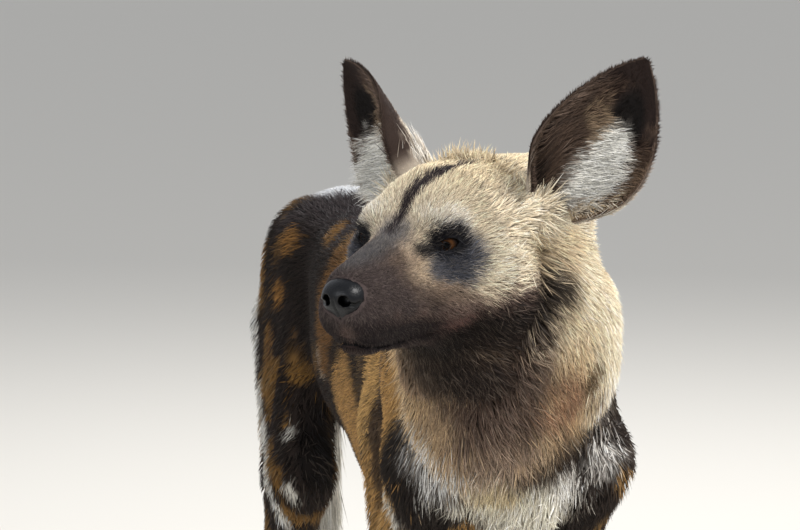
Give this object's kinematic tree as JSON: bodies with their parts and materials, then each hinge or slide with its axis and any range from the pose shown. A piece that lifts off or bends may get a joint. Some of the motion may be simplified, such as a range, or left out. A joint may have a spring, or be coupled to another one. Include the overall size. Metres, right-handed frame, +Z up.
{
  "type": "african wild dog",
  "caption": "Life-size standing African wild dog with its head turned to its right, large round ears and a bushy tail; a still figure that stands on a floor",
  "frame": {"origin": "centre of the bounding box in X and Y, at the floor under the paws", "axes": "+Z up, +X to the animal's left, +Y from its chest to its tail; the head is turned to its right"},
  "size_m": [0.3288, 0.9568, 0.8862],
  "materials": {
    "face": "short pale straw fur",
    "ear": "short brown-black fur, pale hair inside",
    "neck": "long grizzled fur",
    "trunk": "short fur in black, tan and white patches",
    "leg": "short fur in black, tan and white patches",
    "brush": "long bushy hair, black then white",
    "nose": "moist black nose leather",
    "eye": "amber-brown, clear and glossy",
    "claw": "dark horn"
  },
  "bodies": {
    "root": {"torso": "trunk", "neck": "neck", "head": "face", "nose": "nose", "ear_left": "ear", "eye_left": "eye", "ear_right": "ear", "eye_right": "eye", "foreleg_left": "leg", "claw_fore_left_1": "claw", "claw_fore_left_2": "claw", "claw_fore_left_3": "claw", "claw_fore_left_4": "claw", "hindleg_left": "leg", "claw_hind_left_1": "claw", "claw_hind_left_2": "claw", "claw_hind_left_3": "claw", "claw_hind_left_4": "claw", "foreleg_right": "leg", "claw_fore_right_1": "claw", "claw_fore_right_2": "claw", "claw_fore_right_3": "claw", "claw_fore_right_4": "claw", "hindleg_right": "leg", "claw_hind_right_1": "claw", "claw_hind_right_2": "claw", "claw_hind_right_3": "claw", "claw_hind_right_4": "claw", "tail": "brush"}
  },
  "joints": []
}
